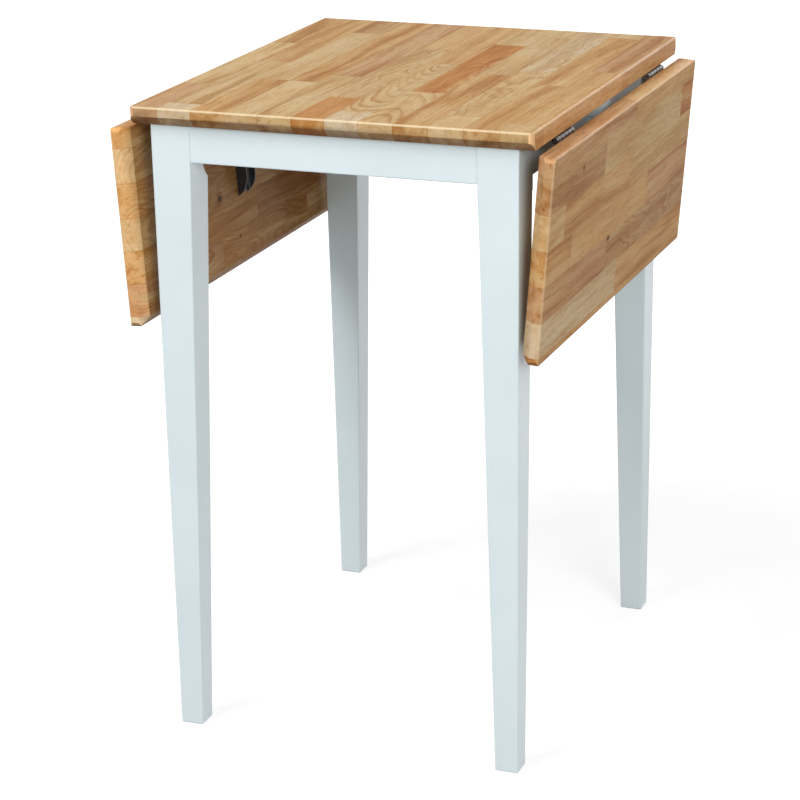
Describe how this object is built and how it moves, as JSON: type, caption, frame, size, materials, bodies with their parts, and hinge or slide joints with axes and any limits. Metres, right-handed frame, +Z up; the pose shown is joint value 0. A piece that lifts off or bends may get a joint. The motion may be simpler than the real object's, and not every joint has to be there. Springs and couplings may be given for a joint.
{
  "type": "drop-leaf dining table",
  "caption": "Small dining table with a fixed wooden top, two drop leaves on butt hinges, folding leaf stays and tapered painted legs.",
  "frame": {"origin": "on the floor under the middle of the centre top", "axes": "+Z up, +X towards the right leaf, +Y towards the back"},
  "size_m": [0.5193, 0.565, 0.75],
  "materials": {
    "rubberwood": "clear satin lacquer on glued staves",
    "white_painted_wood": "satin white paint",
    "bronzed_steel": "dark bronze lacquer",
    "black_steel": "black powder coat",
    "zinc_steel": "bright zinc plate"
  },
  "bodies": {
    "table": {"centre_top": "rubberwood", "leg_front_left": "white_painted_wood", "leg_front_right": "white_painted_wood", "leg_back_left": "white_painted_wood", "leg_back_right": "white_painted_wood", "front_apron": "white_painted_wood", "back_apron": "white_painted_wood", "left_apron": "white_painted_wood", "right_apron": "white_painted_wood", "apron_screws": "zinc_steel", "bracket_front_left": "zinc_steel", "bracket_front_right": "zinc_steel", "bracket_back_left": "zinc_steel", "bracket_back_right": "zinc_steel", "bracket_screws": "zinc_steel", "hanger_bolts": "zinc_steel", "bolt_washers": "zinc_steel", "wing_nuts": "zinc_steel", "hinge_plate_left_front": "bronzed_steel", "hinge_plate_left_back": "bronzed_steel", "hinge_plate_right_front": "bronzed_steel", "hinge_plate_right_back": "bronzed_steel", "top_hinge_screws": "bronzed_steel", "hinge_pin_left_front": "bronzed_steel", "hinge_pin_left_back": "bronzed_steel", "hinge_pin_right_front": "bronzed_steel", "hinge_pin_right_back": "bronzed_steel", "left_stay_block": "white_painted_wood", "right_stay_block": "white_painted_wood", "stay_block_screws": "zinc_steel", "left_lock_plate": "black_steel", "right_lock_plate": "black_steel", "left_stay_pin": "zinc_steel", "right_stay_pin": "zinc_steel"},
    "left_leaf": {"left_leaf": "rubberwood", "leaf_plate_left_front": "bronzed_steel", "leaf_plate_left_back": "bronzed_steel", "left_leaf_screws": "bronzed_steel"},
    "right_leaf": {"right_leaf": "rubberwood", "leaf_plate_right_front": "bronzed_steel", "leaf_plate_right_back": "bronzed_steel", "right_leaf_screws": "bronzed_steel"},
    "left_arm": {"left_stay_arm": "black_steel", "left_lever_pin": "zinc_steel"},
    "right_arm": {"right_stay_arm": "black_steel", "right_lever_pin": "zinc_steel"},
    "left_lever": {"left_release_lever": "black_steel"},
    "right_lever": {"right_release_lever": "black_steel"}
  },
  "joints": [
    {"name": "left_leaf_hinge", "type": "hinge", "parent": "table", "child": "left_leaf", "pos_m": [-0.2354, 0, 0.7255], "axis": [0, 1, 0], "range_deg": [0, 93.6]},
    {"name": "left_arm_pivot", "type": "hinge", "parent": "table", "child": "left_arm", "pos_m": [-0.224, 0, 0.6995], "axis": [0, 1, 0], "range_deg": [0, 102.18]},
    {"name": "left_lever_pivot", "type": "hinge", "parent": "left_arm", "child": "left_lever", "pos_m": [-0.22985, 0, 0.68731], "axis": [0, 1, 0], "range_deg": [0, 8], "stiffness_Nm_per_rad": 0.05},
    {"name": "right_leaf_hinge", "type": "hinge", "parent": "table", "child": "right_leaf", "pos_m": [0.2354, 0, 0.7255], "axis": [0, -1, 0], "range_deg": [0, 94.8]},
    {"name": "right_arm_pivot", "type": "hinge", "parent": "table", "child": "right_arm", "pos_m": [0.224, 0, 0.6995], "axis": [0, -1, 0], "range_deg": [0, 103.38]},
    {"name": "right_lever_pivot", "type": "hinge", "parent": "right_arm", "child": "right_lever", "pos_m": [0.22959, 0, 0.68719], "axis": [0, -1, 0], "range_deg": [0, 8], "stiffness_Nm_per_rad": 0.05}
  ],
  "couplings": [
    {"joint": "left_arm_pivot", "follows": "left_leaf_hinge", "ratio": 1.0916},
    {"joint": "right_arm_pivot", "follows": "right_leaf_hinge", "ratio": 1.0904}
  ]
}
